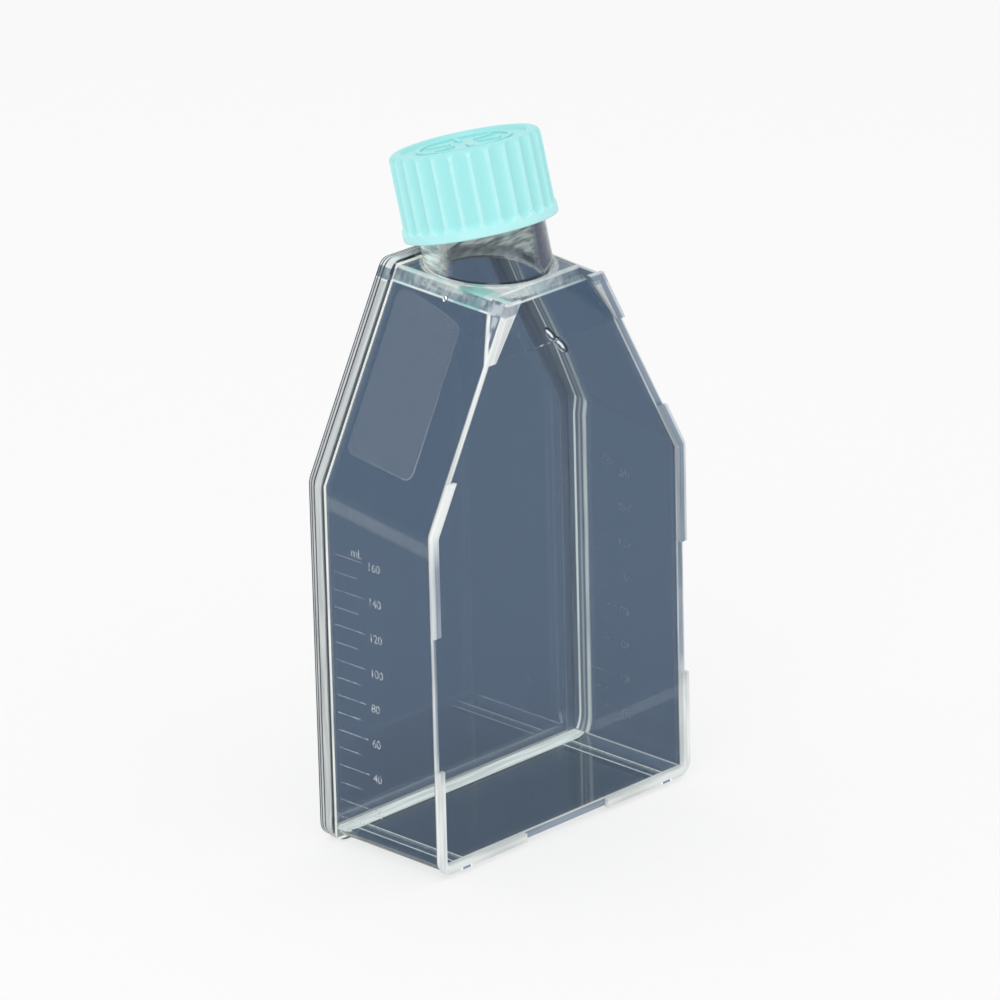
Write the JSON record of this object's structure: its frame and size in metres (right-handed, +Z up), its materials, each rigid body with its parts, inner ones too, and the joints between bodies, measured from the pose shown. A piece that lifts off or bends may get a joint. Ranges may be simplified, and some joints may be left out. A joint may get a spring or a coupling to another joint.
{
  "type": "cell culture flask",
  "caption": "Clear flat-sided cell culture flask with sloping shoulders, a canted threaded neck and a ribbed turquoise screw cap, standing on foot rails.",
  "frame": {"origin": "centre of the whole flask's footprint box, on the plane of the foot rails", "axes": "+Z up, from the base to the cap; +Y from the growth face with the lips towards the cover plate, the way the neck leans; +X across the width, to the right seen from the growth face"},
  "size_m": [0.0804, 0.0426, 0.1569],
  "materials": {
    "clear_body": "clear moulded polystyrene",
    "clear_cover": "clear moulded polystyrene",
    "cap": "satin turquoise polyethylene",
    "liner": "soft pale liner"
  },
  "bodies": {
    "flask": {"flask_body": "clear_body", "cover_plate": "clear_cover"},
    "liner": {"sealing_disc": "liner"},
    "cap": {"screw_cap": "cap"}
  },
  "joints": [
    {"name": "cap_lift", "type": "slide", "parent": "flask", "child": "liner", "axis": [0, 0.2504, 0.9681], "range_m": [0, 0.0151]},
    {"name": "cap_turn", "type": "hinge", "parent": "liner", "child": "cap", "pos_m": [0, -0.00124, 0.12667], "axis": [0, 0.2504, 0.9681], "range_deg": [0, 900]}
  ],
  "couplings": [
    {"joint": "cap_lift", "follows": "cap_turn", "m_per_rad": 0.00095493}
  ]
}
